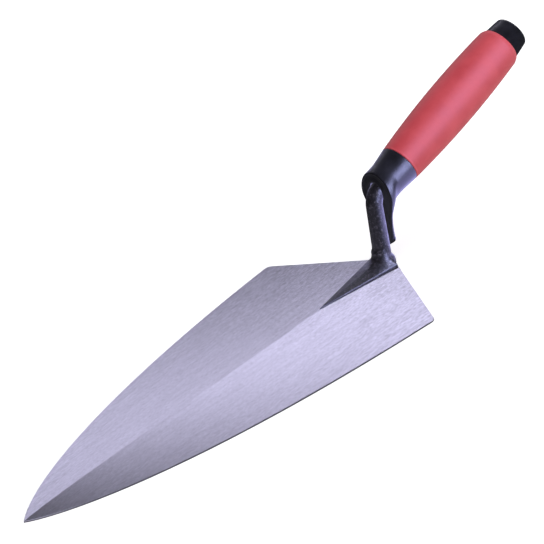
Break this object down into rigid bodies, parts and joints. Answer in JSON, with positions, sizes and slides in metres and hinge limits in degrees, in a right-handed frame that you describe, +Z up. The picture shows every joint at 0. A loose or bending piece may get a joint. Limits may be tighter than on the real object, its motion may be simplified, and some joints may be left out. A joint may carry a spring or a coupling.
{
  "type": "brick trowel",
  "caption": "Brick trowel with a wide pointed steel blade, an upright forged shank, a finger guard and a soft-grip handle with a hard butt.",
  "frame": {"origin": "on the flat underside of the blade, straight below the shank", "axes": "+X from the heel to the tip of the blade, +Z up out of the blade's upper face, +Y to the side"},
  "size_m": [0.4241, 0.1454, 0.0957],
  "materials": {
    "blade_steel": "ground, with fine streaks along the blade",
    "forged_black": "black lacquer over a forged surface",
    "hard_black": "satin moulded plastic",
    "grip_red": "satin soft-touch rubber"
  },
  "bodies": {
    "root": {"blade": "blade_steel", "shank": "forged_black", "handle_core": "hard_black", "soft_grip": "grip_red", "butt_cap": "hard_black"}
  },
  "joints": []
}
